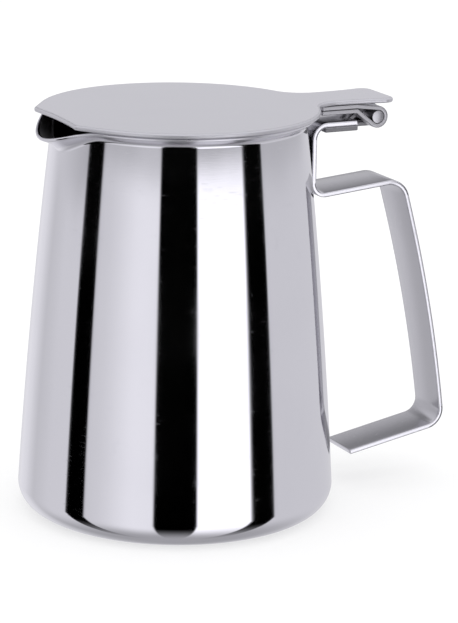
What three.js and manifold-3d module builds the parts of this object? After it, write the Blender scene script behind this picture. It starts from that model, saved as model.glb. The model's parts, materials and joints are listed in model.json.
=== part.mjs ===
// A cream jug in polished stainless sheet: a drawn body with a pressed pouring lip, a strip
// handle whose upper end folds round a hinge pin, and a flat lid on a folded hinge strap.
// Millimetres. +Z is up, the pouring lip points along -X and the handle along +X.
// The origin is the centre of the face that the jug stands on.
import * as THREE from 'three';
import { mergeVertices } from 'three/addons/utils/BufferGeometryUtils.js';
import Module from 'manifold-3d';

const wasm = await Module();
wasm.setup();

// Body
const bodyHeight = 98.6;        // table to the top of the rim
const bodySheet = 0.8;          // thickness of the sheet it is drawn from
const baseRadius = 39.1;        // outer radius at the foot of the wall
const neckRadius = 31.05;       // outer radius just under the flared rim
const wallSwell = 0.6;          // how far the wall stands outside a straight taper, half way up
const baseCorner = 6.2;         // outer radius of the corner between base and wall
const flareRise = 2.2;          // height of the flared band under the rim
const flareReach = 2.2;         // how far the rim stands out from the wall line

// Pouring lip, added to the flare round the -X side
const lipHalfAngle = 31;        // degrees each way
const lipDip = 3.5;             // how far the rim drops at the tip
const lipExtraRise = 1.2;       // extra height of the flared band at the tip
const lipExtraReach = 3.0;      // extra reach at the tip

// Lid
const lidSheet = 1.2;
const lidSeatGap = 0.2;         // lid above the rim, so that the two solids stay apart
const lidOverhang = 1.2;        // lid edge outside the rim
const lidCutback = 2.0;         // middle of the hollow cut over the lip, inside the lid's circle
const lidEarAngle = 21;         // ends of that cut, degrees each way
const lidEarReach = 1.0;        // how far those ends stand outside the lid's circle
const lidEarCorner = 0.8;       // length of each side that the rounding of an end takes
const tongueWaist = 13.2;       // narrowest width of the tongue that reaches over the hinge
const tongueEndWidth = 15.6;
const tongueFillet = 8.0;       // hollow radius between the round lid and the tongue
const tongueCorner = 3;
const thumbTail = 4.3;          // tongue past the centre of the pin
const lidEdgeRound = 0.3;

// Hinge
const pinRadius = 1.6;
const pinClearance = 0.08;      // radial, between the pin and every knuckle
const pinDrop = 3.6;            // pin centre below the underside of the lid
const pinReach = 18.3;          // pin centre outside the back of the handle strip
const pinEndRound = 0.25;
const knuckleSideGap = 0.25;    // side gap between neighbouring knuckles
const foldSlit = 0.08;          // slit between the two layers of a folded leaf
const centreKnuckle = 4.9;      // width of the handle strip's own knuckle
const knuckleZone = 5.9;        // distance from the pin centre to where the leaves are full width

// Lid's hinge strap
const strapGauge = 1.05;
const strapWidth = 13;
const strapGap = 0.1;           // strap below the underside of the lid
const strapLength = 15.6;       // free ends of its two layers to the pin centre

// Handle strip
const stripGauge = 1.2;
const stripWidth = 14.06;       // from the hinge to the upper arm
const stripEndWidth = 12.35;    // at the free lower end
const stripEdgeRound = 0.3;
const leafDrop = 1.0;           // upper layer of its hinge leaf, below the pin centre
const leafTail = 15.0;          // free end of its lower layer to the pin centre
const leafBend = 3.5;           // centre-line radius where the leaf turns down to the wall
const weldBelowRim = 18.5;      // height of the weld, below the rim
const weldStandoff = 0.2;       // strip's back face off the wall at the weld
const weldHeight = 5;
const weldWidth = 8;
const weldGap = 0.08;           // weld pad off the wall, so that the two solids stay apart
const armBend = 3.2;            // centre-line radius where the wall section turns out to the arm
const armBelowRim = 22.25;      // upper arm's start, below the rim
const armReach = 25.3;          // upper arm's corner outside the wall section
const armLift = 2.4;            // rise of the upper arm over its reach
const gripTopCorner = 5.2;
const gripFlare = 14.0;         // foot of the grip outside its top
const gripBow = 2.3;            // how far the grip's middle stands outside a straight line
const gripBowRadius = 380;
const gripMiddleDrop = 34.9;    // grip's middle below its top
const gripFootHeight = 13.85;
const gripBottomCorner = 4.3;
const freeEndGap = 7.1;         // free lower end off the foot of the wall
const freeEndHeight = 8.75;

// Facets
const aroundBody = 96;
const bendStep = 9;             // degrees of turn for each facet of a bend
const pinFacets = 32;

const steel = { metalness: 1, roughness: 0.08 };
const DEG = Math.PI / 180;
const group = new THREE.Group();

function addMesh(name, geometry, colour, finish = steel) {
  const material = new THREE.MeshStandardMaterial({ color: colour, ...finish });
  const mesh = new THREE.Mesh(geometry, material);
  mesh.name = name;
  group.add(mesh);
}

// ---- booleans -------------------------------------------------------------------------------

function toSolid(geometry) {
  const bare = geometry.index ? geometry.toNonIndexed() : geometry.clone();
  bare.deleteAttribute('normal');
  bare.deleteAttribute('uv');
  const merged = mergeVertices(bare, 1e-4);
  const mesh = new wasm.Mesh({
    numProp: 3,
    vertProperties: new Float32Array(merged.attributes.position.array),
    triVerts: new Uint32Array(merged.index.array),
  });
  return new wasm.Manifold(mesh);
}

function toGeometry(solid) {
  const mesh = solid.getMesh();
  const geometry = new THREE.BufferGeometry();
  geometry.setAttribute('position', new THREE.BufferAttribute(mesh.vertProperties, 3));
  geometry.setIndex(new THREE.BufferAttribute(mesh.triVerts, 1));
  return geometry;
}

function boxBetween(low, high) {
  const size = high.map((value, i) => value - low[i]);
  const middle = high.map((value, i) => (value + low[i]) / 2);
  return new THREE.BoxGeometry(...size).translate(...middle);
}

// ---- the body's wall ------------------------------------------------------------------------

const rimEdgeHeight = bodyHeight - bodySheet / 2;
const neckHeight = rimEdgeHeight - flareRise;

// Outer radius of the wall line at a height: a straight taper plus a shallow swell.
function wallRadius(z) {
  const t = (z - baseCorner) / (neckHeight - baseCorner);
  return baseRadius + (neckRadius - baseRadius) * t + wallSwell * 4 * t * (1 - t);
}

const rimRadius = wallRadius(rimEdgeHeight) + flareReach;

// 0 away from the pouring lip, 1 at its tip; the angle is measured from +X.
function lipShare(angle) {
  const offTip = Math.abs(angle - Math.PI) / (lipHalfAngle * DEG);
  return THREE.MathUtils.smoothstep(1 - offTip, 0, 1);
}

// Middle of the sheet from the axis, under the base and up the wall to the rim, as (radius, height).
function sheetLine(angle) {
  const half = bodySheet / 2;
  const share = lipShare(angle);
  const edgeZ = rimEdgeHeight - lipDip * share;
  const rise = flareRise + lipExtraRise * share;
  const reach = flareReach + lipExtraReach * share;
  const flatRadius = baseRadius - baseCorner;
  const line = [new THREE.Vector2(0, half), new THREE.Vector2(flatRadius, half)];
  const cornerSteps = 6;
  for (let i = 1; i <= cornerSteps; i++) {
    const turn = (i / cornerSteps) * 90 * DEG;
    const radius = baseCorner - half;
    line.push(new THREE.Vector2(
      flatRadius + radius * Math.sin(turn),
      baseCorner - radius * Math.cos(turn),
    ));
  }
  const wallSteps = 9;
  for (let i = 1; i <= wallSteps; i++) {
    const z = baseCorner + (edgeZ - rise - baseCorner) * (i / wallSteps);
    line.push(new THREE.Vector2(wallRadius(z) - half, z));
  }
  const flareSteps = 5;
  for (let i = 1; i <= flareSteps; i++) {
    const s = i / flareSteps;
    const z = edgeZ - rise + rise * s;
    line.push(new THREE.Vector2(wallRadius(z) - half + reach * s * s, z));
  }
  return line;
}

// Unit normals of a line, to the left of its direction.
function lineNormals(line) {
  return line.map((point, i) => {
    const before = line[Math.max(i - 1, 0)];
    const after = line[Math.min(i + 1, line.length - 1)];
    const along = after.clone().sub(before).normalize();
    return new THREE.Vector2(-along.y, along.x);
  });
}

// Closed section of the sheet: outside up to the rim, a rounded edge, and inside down again.
function bodySection(angle) {
  const half = bodySheet / 2;
  const line = sheetLine(angle);
  const normals = lineNormals(line);
  normals[0].set(0, 1);
  const side = (sign) => line.map((p, i) => p.clone().addScaledVector(normals[i], sign * half));
  const outside = side(-1);
  const inside = side(1).reverse();
  const tip = line[line.length - 1];
  const out = normals[normals.length - 1].clone().negate();
  const edge = [45, 90, 135].map((turn) => {
    const spoke = out.clone().rotateAround(new THREE.Vector2(0, 0), turn * DEG);
    return tip.clone().addScaledVector(spoke, half);
  });
  return [...outside, ...edge, ...inside];
}

// Turned body whose section changes with the angle, so that the rim runs out into the lip.
function bodyGeometry() {
  const plain = bodySection(0);
  const geometry = new THREE.LatheGeometry(plain, aroundBody);
  const position = geometry.attributes.position;
  for (let i = 0; i <= aroundBody; i++) {
    const angle = ((i % aroundBody) / aroundBody) * 2 * Math.PI;
    const section = bodySection(angle);
    section.forEach((point, j) => {
      position.setXYZ(
        i * section.length + j,
        point.x * Math.cos(angle),
        point.x * Math.sin(angle),
        point.y,
      );
    });
  }
  return geometry;
}

// ---- bent strips ----------------------------------------------------------------------------

// Line through corner points; a corner with a bend becomes an arc of that radius.
function bentLine(corners) {
  const line = [];
  corners.forEach((corner, i) => {
    const here = new THREE.Vector2(corner.x, corner.z);
    if (!corner.bend) {
      line.push(here);
      return;
    }
    const before = new THREE.Vector2(corners[i - 1].x, corners[i - 1].z);
    const after = new THREE.Vector2(corners[i + 1].x, corners[i + 1].z);
    const into = here.clone().sub(before).normalize();
    const outOf = after.clone().sub(here).normalize();
    const turn = Math.atan2(into.cross(outOf), into.dot(outOf));
    const setback = corner.bend * Math.tan(Math.abs(turn) / 2);
    const start = here.clone().addScaledVector(into, -setback);
    const toCentre = new THREE.Vector2(-into.y, into.x).multiplyScalar(Math.sign(turn) * corner.bend);
    const centre = start.clone().add(toCentre);
    const steps = Math.max(4, Math.ceil(Math.abs(turn) / (bendStep * DEG)));
    for (let k = 0; k <= steps; k++) {
      line.push(start.clone().rotateAround(centre, (turn * k) / steps));
    }
  });
  return line;
}

// Arc round the pin from one leaf layer to the other, leaving each along a tangent. way is +1
// where the strip passes under the pin first, and -1 where it passes over it first.
function pinLoop(pin, from, to, radius, way) {
  const tangentAngle = (point, sign) => {
    const spoke = point.clone().sub(pin);
    return Math.atan2(spoke.y, spoke.x) + sign * Math.acos(radius / spoke.length());
  };
  const start = tangentAngle(from, way);
  let sweep = tangentAngle(to, -way) - start;
  while (way * sweep <= 0) sweep += way * 2 * Math.PI;
  const steps = Math.ceil(Math.abs(sweep) / (bendStep * DEG));
  const points = [];
  for (let k = 0; k <= steps; k++) {
    const angle = start + (sweep * k) / steps;
    points.push({ x: pin.x + radius * Math.cos(angle), z: pin.y + radius * Math.sin(angle) });
  }
  return points;
}

// Solid strip of one gauge along a line in the XZ plane, centred on the jug's middle plane.
function stripGeometry(line, gauge, width, edgeRound) {
  const normals = lineNormals(line);
  const side = (sign) => line.map((p, i) => {
    const before = line[Math.max(i - 1, 0)];
    const after = line[Math.min(i + 1, line.length - 1)];
    const into = p.clone().sub(before);
    const outOf = after.clone().sub(p);
    const half = into.length() && outOf.length() ? into.angleTo(outOf) / 2 : 0;
    return p.clone().addScaledVector(normals[i], (sign * gauge) / 2 / Math.cos(half));
  });
  const shape = new THREE.Shape([...side(1), ...side(-1).reverse()]);
  const geometry = new THREE.ExtrudeGeometry(shape, {
    depth: width - 2 * edgeRound,
    bevelEnabled: true,
    bevelThickness: edgeRound,
    bevelSize: edgeRound,
    bevelOffset: -edgeRound,
    bevelSegments: 2,
  });
  geometry.rotateX(Math.PI / 2);
  geometry.translate(0, width / 2 - edgeRound, 0);
  return geometry;
}

// ---- places that several pieces share --------------------------------------------------------

const lidUnderside = bodyHeight + lidSeatGap;
const weldZ = bodyHeight - weldBelowRim;
const stripBack = wallRadius(weldZ) + weldStandoff;
const pin = new THREE.Vector2(stripBack + pinReach, lidUnderside - pinDrop);
const knuckleBore = pinRadius + pinClearance;
const leafEdgeX = pin.x - knuckleZone;

// ---- handle strip ---------------------------------------------------------------------------

function handleLine() {
  const radius = knuckleBore + stripGauge / 2;
  const upperZ = pin.y - leafDrop;
  const lowerZ = upperZ - stripGauge - foldSlit;
  const upper = new THREE.Vector2(leafEdgeX, upperZ);
  const lower = new THREE.Vector2(leafEdgeX, lowerZ);
  const wallX = stripBack + stripGauge / 2;
  const armZ = bodyHeight - armBelowRim;
  const gripTop = { x: wallX + armReach, z: armZ + armLift };
  const gripFoot = { x: gripTop.x + gripFlare, z: gripFootHeight };
  const middleZ = gripTop.z - gripMiddleDrop;
  const middleShare = gripMiddleDrop / (gripTop.z - gripFoot.z);
  return bentLine([
    { x: pin.x - leafTail, z: lowerZ },
    { x: lower.x, z: lower.y },
    ...pinLoop(pin, lower, upper, radius, 1),
    { x: upper.x, z: upper.y },
    { x: wallX, z: upperZ, bend: leafBend },
    { x: wallX, z: armZ, bend: armBend },
    { ...gripTop, bend: gripTopCorner },
    { x: gripTop.x + gripFlare * middleShare + gripBow, z: middleZ, bend: gripBowRadius },
    { ...gripFoot, bend: gripBottomCorner },
    { x: baseRadius + freeEndGap, z: freeEndHeight },
  ]);
}

// Narrows the strip evenly along its length, from the start of the upper arm to the free end.
function taperStrip(geometry, line) {
  const lengths = [0];
  line.slice(1).forEach((p, i) => lengths.push(lengths[i] + p.distanceTo(line[i])));
  const armStart = line.findIndex((p) => p.y < bodyHeight - armBelowRim + armBend && p.x > stripBack);
  const total = lengths[lengths.length - 1] - lengths[armStart];
  const position = geometry.attributes.position;
  const here = new THREE.Vector2();
  for (let i = 0; i < position.count; i++) {
    here.set(position.getX(i), position.getZ(i));
    const distances = line.map((p) => p.distanceTo(here));
    const nearest = distances.indexOf(Math.min(...distances));
    const share = Math.max(0, (lengths[nearest] - lengths[armStart]) / total);
    const width = stripWidth + (stripEndWidth - stripWidth) * share;
    position.setY(i, position.getY(i) * (width / stripWidth));
  }
}

// Body's outer wall as a plug, a little larger, which trims the weld pad to the wall.
function wallPlug() {
  const line = [new THREE.Vector2(0, weldZ - weldHeight * 2)];
  for (let i = 0; i <= 8; i++) {
    const z = weldZ + weldHeight * (i / 2 - 2);
    line.push(new THREE.Vector2(wallRadius(z) + weldGap, z));
  }
  line.push(new THREE.Vector2(0, line[line.length - 1].y));
  return toSolid(new THREE.LatheGeometry(line, aroundBody * 2).rotateX(Math.PI / 2));
}

function handleGeometry() {
  const line = handleLine();
  const strip = stripGeometry(line, stripGauge, stripWidth, stripEdgeRound);
  taperStrip(strip, line);
  const pad = boxBetween(
    [stripBack - 2 * weldStandoff - 2, -weldWidth / 2, weldZ - weldHeight / 2],
    [stripBack + stripGauge / 2, weldWidth / 2, weldZ + weldHeight / 2],
  );
  let solid = toSolid(strip).add(toSolid(pad).subtract(wallPlug()));
  const clear = stripWidth;
  [-1, 1].forEach((side) => {
    const edges = [side * centreKnuckle / 2, side * clear].sort((a, b) => a - b);
    const notch = boxBetween(
      [leafEdgeX, edges[0], pin.y - knuckleZone],
      [pin.x + knuckleZone, edges[1], pin.y + knuckleZone],
    );
    solid = solid.subtract(toSolid(notch));
  });
  return toGeometry(solid);
}

// ---- lid ------------------------------------------------------------------------------------

const lidRadius = rimRadius + lidOverhang;

function toward(from, to, distance) {
  return from.clone().lerp(to, distance / from.distanceTo(to));
}

// Round plate with a hollow cut over the pouring lip, whose two ends follow the flare of the rim.
// It runs out through two hollow fillets into a tongue over the hinge.
function lidGeometry() {
  const waist = tongueWaist / 2;
  const endX = pin.x + thumbTail;
  const endHalf = tongueEndWidth / 2;
  const filletY = waist + tongueFillet;
  const filletX = Math.sqrt((lidRadius + tongueFillet) ** 2 - filletY ** 2);
  const meetAngle = Math.atan2(filletY, filletX);
  const earRadius = lidRadius + lidEarReach;
  const earAngle = Math.PI - lidEarAngle * DEG;
  const leaveAngle = earAngle - Math.acos(lidRadius / earRadius);
  const ear = new THREE.Vector2(Math.cos(earAngle), Math.sin(earAngle)).multiplyScalar(earRadius);
  const leave = new THREE.Vector2(Math.cos(leaveAngle), Math.sin(leaveAngle)).multiplyScalar(lidRadius);
  const cutControl = new THREE.Vector2(2 * (lidCutback - lidRadius) - ear.x, 0);
  const beforeEar = toward(ear, leave, lidEarCorner);
  const afterEar = toward(ear, cutControl, lidEarCorner);
  const shape = new THREE.Shape();
  shape.absarc(0, 0, lidRadius, meetAngle, leaveAngle, false);
  shape.lineTo(beforeEar.x, beforeEar.y);
  shape.quadraticCurveTo(ear.x, ear.y, afterEar.x, afterEar.y);
  shape.quadraticCurveTo(cutControl.x, 0, afterEar.x, -afterEar.y);
  shape.quadraticCurveTo(ear.x, -ear.y, beforeEar.x, -beforeEar.y);
  shape.lineTo(leave.x, -leave.y);
  shape.absarc(0, 0, lidRadius, 2 * Math.PI - leaveAngle, 2 * Math.PI - meetAngle, false);
  shape.absarc(filletX, -filletY, tongueFillet, Math.PI - meetAngle, Math.PI / 2, true);
  shape.quadraticCurveTo((filletX + endX) / 2, -waist, endX - tongueCorner, -endHalf);
  shape.quadraticCurveTo(endX, -endHalf, endX, -endHalf + tongueCorner);
  shape.lineTo(endX, endHalf - tongueCorner);
  shape.quadraticCurveTo(endX, endHalf, endX - tongueCorner, endHalf);
  shape.quadraticCurveTo((filletX + endX) / 2, waist, filletX, waist);
  shape.absarc(filletX, filletY, tongueFillet, -Math.PI / 2, Math.PI + meetAngle, true);
  const outline = shape.getPoints(24);
  const apart = outline.filter((p, i) => i === 0 || p.distanceTo(outline[i - 1]) > 0.01);
  const geometry = new THREE.ExtrudeGeometry(new THREE.Shape(apart), {
    depth: lidSheet - 2 * lidEdgeRound,
    bevelEnabled: true,
    bevelThickness: lidEdgeRound,
    bevelSize: lidEdgeRound,
    bevelOffset: -lidEdgeRound,
    bevelSegments: 2,
  });
  geometry.translate(0, 0, lidUnderside + lidEdgeRound);
  return geometry;
}

// Strap folded double round the pin, its two layers fixed flat under the tongue.
function strapGeometry() {
  const radius = knuckleBore + strapGauge / 2;
  const upperZ = lidUnderside - strapGap - strapGauge / 2;
  const lowerZ = upperZ - strapGauge - foldSlit;
  const upper = new THREE.Vector2(leafEdgeX, upperZ);
  const lower = new THREE.Vector2(leafEdgeX, lowerZ);
  const line = bentLine([
    { x: pin.x - strapLength, z: upperZ },
    { x: upper.x, z: upper.y },
    ...pinLoop(pin, upper, lower, radius, -1),
    { x: lower.x, z: lower.y },
    { x: pin.x - strapLength, z: lowerZ },
  ]);
  const strap = toSolid(stripGeometry(line, strapGauge, strapWidth, stripEdgeRound));
  const half = centreKnuckle / 2 + knuckleSideGap;
  const window = boxBetween(
    [leafEdgeX, -half, pin.y - knuckleZone],
    [pin.x + knuckleZone, half, pin.y + knuckleZone],
  );
  return toGeometry(strap.subtract(toSolid(window)));
}

function pinGeometry() {
  const half = strapWidth / 2;
  const line = [
    new THREE.Vector2(0, -half),
    new THREE.Vector2(pinRadius - pinEndRound, -half),
    new THREE.Vector2(pinRadius, -half + pinEndRound),
    new THREE.Vector2(pinRadius, half - pinEndRound),
    new THREE.Vector2(pinRadius - pinEndRound, half),
    new THREE.Vector2(0, half),
  ];
  return new THREE.LatheGeometry(line, pinFacets).translate(pin.x, 0, pin.y);
}

addMesh('body_shell', bodyGeometry(), 0xc9c9ce);
addMesh('handle_strip', handleGeometry(), 0xb9bac0);
addMesh('lid_plate', lidGeometry(), 0xcfcfd4);
addMesh('lid_hinge_strap', strapGeometry(), 0x9a9ba2);
addMesh('hinge_pin', pinGeometry(), 0x8c8d93);

export default group;
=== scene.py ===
"""Looks of a polished steel cream jug: drawn body, flat lid on a pin hinge and a bent strip handle.

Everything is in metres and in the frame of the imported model: +Z up, the pouring lip along -X,
the handle along +X, and the origin in the middle of the face that the jug stands on.
Sizes in the classes are given in millimetres and turned into metres where a mesh is made.
"""

import json
import logging
import math
from dataclasses import dataclass
from enum import Enum
from typing import Any

import bpy
import numpy as np
from mathutils import Matrix, Vector


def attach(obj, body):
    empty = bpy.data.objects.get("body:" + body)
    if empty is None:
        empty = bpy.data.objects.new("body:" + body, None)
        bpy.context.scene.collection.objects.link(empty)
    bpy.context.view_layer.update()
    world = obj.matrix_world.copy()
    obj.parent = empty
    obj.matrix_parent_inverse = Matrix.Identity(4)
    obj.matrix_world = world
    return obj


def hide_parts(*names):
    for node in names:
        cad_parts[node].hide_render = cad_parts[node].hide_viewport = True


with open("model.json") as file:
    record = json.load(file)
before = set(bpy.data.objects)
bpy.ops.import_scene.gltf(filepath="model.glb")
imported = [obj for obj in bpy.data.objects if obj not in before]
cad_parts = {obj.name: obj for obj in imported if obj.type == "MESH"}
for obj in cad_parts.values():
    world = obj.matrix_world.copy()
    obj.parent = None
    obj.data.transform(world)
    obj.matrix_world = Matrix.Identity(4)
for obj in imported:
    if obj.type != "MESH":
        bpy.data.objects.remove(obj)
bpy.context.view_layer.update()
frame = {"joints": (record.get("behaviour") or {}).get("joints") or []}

MM = 0.001
log = logging.getLogger("cream_jug")
Array = np.ndarray


class Body(str, Enum):
    """The two bodies that the hinge joins."""

    JUG = "jug"
    LID = "lid"


# ---- shader maths ----


class Term:
    """A socket of a node tree that can be used in sums and products of numbers."""

    def __init__(self, tree: "Tree", socket: bpy.types.NodeSocket) -> None:
        """Keeps the tree and the output socket."""
        self.tree = tree
        self.socket = socket

    def _join(self, operation: str, *values: Any) -> "Term":
        """Adds one Math node on the values, in their order."""
        node = self.tree.node("ShaderNodeMath", {"operation": operation}, dict(enumerate(values)))
        return Term(self.tree, node.outputs[0])

    def __add__(self, other: Any) -> "Term":
        """Sum."""
        return self._join("ADD", self, other)

    def __sub__(self, other: Any) -> "Term":
        """Difference."""
        return self._join("SUBTRACT", self, other)

    def __rsub__(self, other: Any) -> "Term":
        """Difference from a number."""
        return self._join("SUBTRACT", other, self)

    def __mul__(self, other: Any) -> "Term":
        """Product."""
        return self._join("MULTIPLY", self, other)

    def __truediv__(self, other: Any) -> "Term":
        """Quotient."""
        return self._join("DIVIDE", self, other)

    __radd__ = __add__
    __rmul__ = __mul__

    def size(self) -> "Term":
        """Absolute value."""
        return self._join("ABSOLUTE", self)

    def arctan2(self, other: "Term") -> "Term":
        """Angle whose tangent is this over the other, in radians."""
        return self._join("ARCTAN2", self, other)

    def arcsine(self) -> "Term":
        """Angle whose sine this is, in radians."""
        return self._join("ARCSINE", self)

    def between(self, low: float, high: float) -> "Term":
        """Smooth rise from 0 at low to 1 at high.

        Args:
            low: value where the rise starts.
            high: value where it ends.

        Returns:
            The share of the way, eased at both ends.
        """
        node = self.tree.node(
            "ShaderNodeMapRange",
            {"interpolation_type": "SMOOTHSTEP"},
            {"Value": self, "From Min": low, "From Max": high},
        )
        return Term(self.tree, node.outputs["Result"])


class Tree:
    """A node tree that is filled through one method."""

    def __init__(self, tree: bpy.types.NodeTree) -> None:
        """Empties the tree and keeps it."""
        tree.nodes.clear()
        self.tree = tree

    def node(self, kind: str, settings: dict | None = None, inputs: dict | None = None) -> bpy.types.Node:
        """Adds a node.

        Args:
            kind: node type.
            settings: the node's own settings, set first; "stops" fills a colour ramp with
                (place, brightness or colour) pairs.
            inputs: value, socket or Term for each input, by its name or number.

        Returns:
            The new node.
        """
        made = self.tree.nodes.new(kind)
        for name, value in (settings or {}).items():
            if name == "stops":
                self._fill_ramp(made.color_ramp, value)
            else:
                setattr(made, name, value)
        for name, value in (inputs or {}).items():
            target = made.inputs[name]
            source = value.socket if isinstance(value, Term) else value
            if isinstance(source, bpy.types.NodeSocket):
                self.tree.links.new(source, target)
            else:
                target.default_value = source
        return made

    @staticmethod
    def _fill_ramp(ramp: bpy.types.ColorRamp, stops: list[tuple[float, Any]]) -> None:
        """Sets the stops of a colour ramp; a single number means a grey."""
        while len(ramp.elements) < len(stops):
            ramp.elements.new(0.5)
        for element, (place, shade) in zip(ramp.elements, stops):
            element.position = place
            element.color = (shade, shade, shade, 1) if isinstance(shade, float) else shade

    def profile(self, azimuth: Term, pairs: tuple[tuple[float, float], ...]) -> Term:
        """Value that runs in straight lines from one pair to the next.

        A colour ramp holds each value as its share of the way from the lowest to the highest.

        Args:
            azimuth: azimuth in degrees, from -180 to 180.
            pairs: (azimuth, value) pairs in order.

        Returns:
            The value at the azimuth.
        """
        low, high = min(v for _, v in pairs), max(v for _, v in pairs)
        stops = [((a + 180) / 360, (v - low) / (high - low)) for a, v in pairs]
        ramp = self.term("ShaderNodeValToRGB", 0, {"stops": stops}, {0: (azimuth + 180) / 360})
        return ramp * (high - low) + low

    def term(
        self, kind: str, output: str | int, settings: dict | None = None, inputs: dict | None = None
    ) -> Term:
        """Adds a node and gives one of its outputs as a Term."""
        return Term(self, self.node(kind, settings, inputs).outputs[output])

    def noise(self, vector: Any, scale: float, detail: float = 2.0) -> Term:
        """Soft noise from 0 to 1 over a vector."""
        inputs = {"Vector": vector, "Scale": scale, "Detail": detail}
        return self.term("ShaderNodeTexNoise", "Fac", {}, inputs)

    def attribute(self, name: str) -> Term:
        """Number that a mesh carries at each vertex."""
        return self.term("ShaderNodeAttribute", "Fac", {"attribute_name": name})

    def stretched(self, vector: Any, factors: tuple[float, float, float]) -> bpy.types.NodeSocket:
        """Vector times a factor for each axis."""
        node = self.node("ShaderNodeVectorMath", {"operation": "MULTIPLY"}, {0: vector, 1: factors})
        return node.outputs[0]

    def blend(self, share: Term, first: tuple, second: tuple) -> bpy.types.NodeSocket:
        """Colour between two colours."""
        node = self.node("ShaderNodeMix", {"data_type": "RGBA"}, {0: share, 6: (*first, 1), 7: (*second, 1)})
        return node.outputs[2]


def new_material(name: str) -> tuple[bpy.types.Material, Tree]:
    """Makes a material with an empty tree."""
    material = bpy.data.materials.new(name)
    material.use_nodes = True
    return material, Tree(material.node_tree)


def new_object(name: str, data: bpy.types.ID) -> bpy.types.Object:
    """Puts an object with the data into the scene, at the origin."""
    made = bpy.data.objects.new(name, data)
    bpy.context.scene.collection.objects.link(made)
    return made


# ---- finishes ----


class Grain(Enum):
    """Which way the polishing lines of a finish run."""

    ROUND = "round the axis"
    ALONG = "along the strip"
    STRAIGHT = "straight across the sheet"


@dataclass(frozen=True)
class Pattern:
    """Soft noise, with its number of cells and its octaves, of which only the crests show."""

    scale: float
    detail: float
    low: float
    high: float

    def on(self, tree: Tree, vector: Any) -> Term:
        """How much of the pattern shows, from 0 to 1, over a vector."""
        return tree.noise(vector, self.scale, self.detail).between(self.low, self.high)


# Cells are counted to the metre, but those of scratches to one cell of the grain.
# A line is the two heights, in metres, between which a finish changes.
SMEARS = Pattern(38, 4, 0.42, 0.72)
SPOTS = Pattern(260, 2, 0.66, 0.74)
SCRATCHES = Pattern(1, 3, 0.66, 0.70)
SMEAR_SHADE, SPOT_SHADE = 0.6, 0.4
SPOT_ROUGHNESS = 0.02
GRAIN_CELLS = (300, 300, 9000)
SCRATCH_CELLS = (1, 1, 0.22)
FOOT_LINE = (0.0002, 0.0011)
FOOT_RAGGEDNESS = 0.0002
FOOT_CELLS = 900
FLARE_LINE = (0.0958, 0.0972)


@dataclass(frozen=True)
class Steel:
    """Stainless steel sheet with polishing lines, faint smears, spots and fine scratches."""

    name: str
    tint: tuple[float, float, float] = (0.80, 0.793, 0.828)
    shaded: tuple[float, float, float] = (0.775, 0.768, 0.805)
    roughness: float = 0.05
    smear: float = 0.03
    scratch: float = 0.06
    line_depth: float = 0.0000006
    grain: Grain = Grain.ROUND
    crown: float = 0.0
    foot_wear: float = 0.0
    flare_haze: float = 0.0

    def make(self) -> bpy.types.Material:
        """Builds the material.

        Smears and spots are the crests of a soft noise, scratches those of a noise drawn out along
        the grain, and all three raise the roughness. The lines are a low bump of a drawn-out noise.
        A crown is a bump that falls away from the middle of a strip with the square of the distance.
        The foot is rubbed where it stands, and the polish thins out in the flare under the rim.

        Returns:
            The finished material.
        """
        material, tree = new_material(self.name)
        place = tree.node("ShaderNodeTexCoord").outputs["Object"]
        lines_at = self._grain_vector(tree, place)
        smears, spots = SMEARS.on(tree, place), SPOTS.on(tree, place)
        scratches = SCRATCHES.on(tree, tree.stretched(lines_at, SCRATCH_CELLS))
        lines = tree.noise(lines_at, 1)
        rough = self.roughness + self.smear * smears + self.scratch * scratches + SPOT_ROUGHNESS * spots
        if self.foot_wear:
            height = self._axis(tree, place, "Z")
            edge = height + FOOT_RAGGEDNESS * tree.noise(place, FOOT_CELLS, 3)
            rough = rough + self.foot_wear * (1 - edge.between(*FOOT_LINE))
            rough = rough + self.flare_haze * height.between(*FLARE_LINE)
        relief = lines * self.line_depth
        if self.crown:
            across = tree.attribute("across")
            relief = relief - (across * across) * self.crown
        bump = tree.node("ShaderNodeBump", {}, {"Height": relief, "Distance": 1.0, "Strength": 1.0})
        colour = tree.blend(smears * SMEAR_SHADE + spots * SPOT_SHADE, self.tint, self.shaded)
        shader = tree.node(
            "ShaderNodeBsdfPrincipled",
            {},
            {"Base Color": colour, "Metallic": 1.0, "Roughness": rough, "Normal": bump.outputs[0]},
        )
        tree.node("ShaderNodeOutputMaterial", {}, {"Surface": shader.outputs[0]})
        return material

    def _axis(self, tree: Tree, place: Any, axis: str) -> Term:
        """One coordinate of a vector."""
        return tree.term("ShaderNodeSeparateXYZ", axis, {}, {0: place})

    def _grain_vector(self, tree: Tree, place: Any) -> bpy.types.NodeSocket:
        """Vector for noise that is drawn out along the grain.

        Its last coordinate runs across the grain, with 9 noise cells to the millimetre, and the
        other two run along it, with 3 cells to the centimetre.

        Args:
            tree: tree to add to.
            place: object coordinates.

        Returns:
            The vector's socket.
        """
        if self.grain is Grain.ROUND:
            return tree.stretched(place, GRAIN_CELLS)
        if self.grain is Grain.STRAIGHT:
            parts = {k: self._axis(tree, place, axis) for k, axis in enumerate("XZY")}
        else:
            parts = {0: tree.attribute("along"), 1: 0.0, 2: tree.attribute("across")}
        joined = tree.node("ShaderNodeCombineXYZ", {}, parts)
        return tree.stretched(joined.outputs[0], GRAIN_CELLS)


# ---- mesh making ----


def quads_of(index: Array) -> Array:
    """Quads between neighbouring rows and columns of a grid of vertex numbers."""
    return np.stack([index[:-1, :-1], index[1:, :-1], index[1:, 1:], index[:-1, 1:]], -1).reshape(-1, 4)


def closed_quads(index: Array) -> Array:
    """Quads of a grid whose first axis joins up with its own start."""
    return quads_of(np.vstack([index, index[:1]]))


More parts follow.
